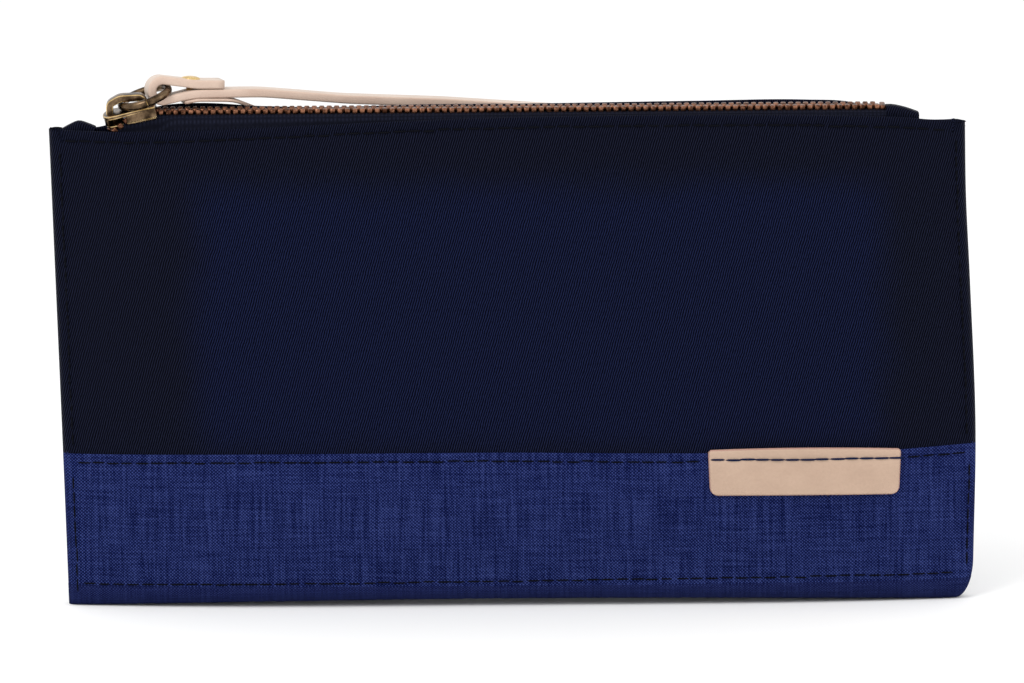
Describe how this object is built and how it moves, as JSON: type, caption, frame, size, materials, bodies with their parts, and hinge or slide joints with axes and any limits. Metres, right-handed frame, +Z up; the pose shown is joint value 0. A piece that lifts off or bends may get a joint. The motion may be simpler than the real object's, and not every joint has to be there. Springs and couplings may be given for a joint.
{
  "type": "wristlet wallet",
  "caption": "Small fabric wristlet wallet with a metal zip along the top, a leather wrist strap riveted to the slider's ring, and a sewn leather label.",
  "frame": {"origin": "middle of the flat underside that the pouch stands on", "axes": "+X along the zip from the parked slider, front of the pouch faces -Y, +Z up"},
  "size_m": [0.2144, 0.0534, 0.1245],
  "materials": {
    "twill": "fine steep twill, very dark navy",
    "canvas": "slubby plain weave, blue",
    "canvas_dark": "plain weave, darker blue",
    "lining": "smooth cotton lining",
    "zip_tape": "ribbed woven tape, dark navy",
    "teeth_metal": "copper brown, worn bright on top",
    "antique_brass": "antique brass",
    "rivet_brass": "polished brass",
    "leather": "undyed vegetable tanned leather, pink edges"
  },
  "bodies": {
    "pouch": {"bottom_strip": "canvas_dark", "back_upper_panel": "twill", "back_lower_band": "canvas", "back_lining": "lining", "slip_pocket": "lining", "zip_tape_back": "zip_tape", "zip_teeth_back": "teeth_metal", "zip_top_stop_back": "teeth_metal", "zip_bottom_stop": "teeth_metal", "zip_end_tab_left": "twill", "zip_end_tab_right": "twill"},
    "front": {"front_upper_panel": "twill", "front_lower_band": "canvas", "front_lining": "lining", "zip_tape_front": "zip_tape", "zip_teeth_front": "teeth_metal", "zip_top_stop_front": "teeth_metal", "leather_label": "leather"},
    "slider": {"slider_body": "antique_brass", "slider_crown": "antique_brass"},
    "ring": {"split_ring": "antique_brass"},
    "strap": {"wrist_strap": "leather", "rivet_cap": "rivet_brass", "rivet_post": "rivet_brass"}
  },
  "joints": [
    {"name": "mouth_open", "type": "hinge", "parent": "pouch", "child": "front", "pos_m": [0, -0.0088, 0.0059], "axis": [1, 0, 0], "range_deg": [0, 14]},
    {"name": "zip_slide", "type": "slide", "parent": "pouch", "child": "slider", "axis": [1, 0, 0], "range_m": [0, 0.163], "deforming": ["zip_teeth_front", "zip_teeth_back", "zip_tape_front", "zip_tape_back"]},
    {"name": "ring_swing", "type": "hinge", "parent": "slider", "child": "ring", "pos_m": [-0.08951, -0.0004, 0.11663], "axis": [0.2419, -0.9703, 0], "range_deg": [0, 75]},
    {"name": "strap_swing", "type": "hinge", "parent": "ring", "child": "strap", "pos_m": [-0.07918, 0.00218, 0.1204], "axis": [0.2419, -0.9703, 0], "range_deg": [0, 110]}
  ],
  "couplings": [
    {"joint": "zip_slide", "follows": "mouth_open", "m_per_rad": 0.667}
  ]
}
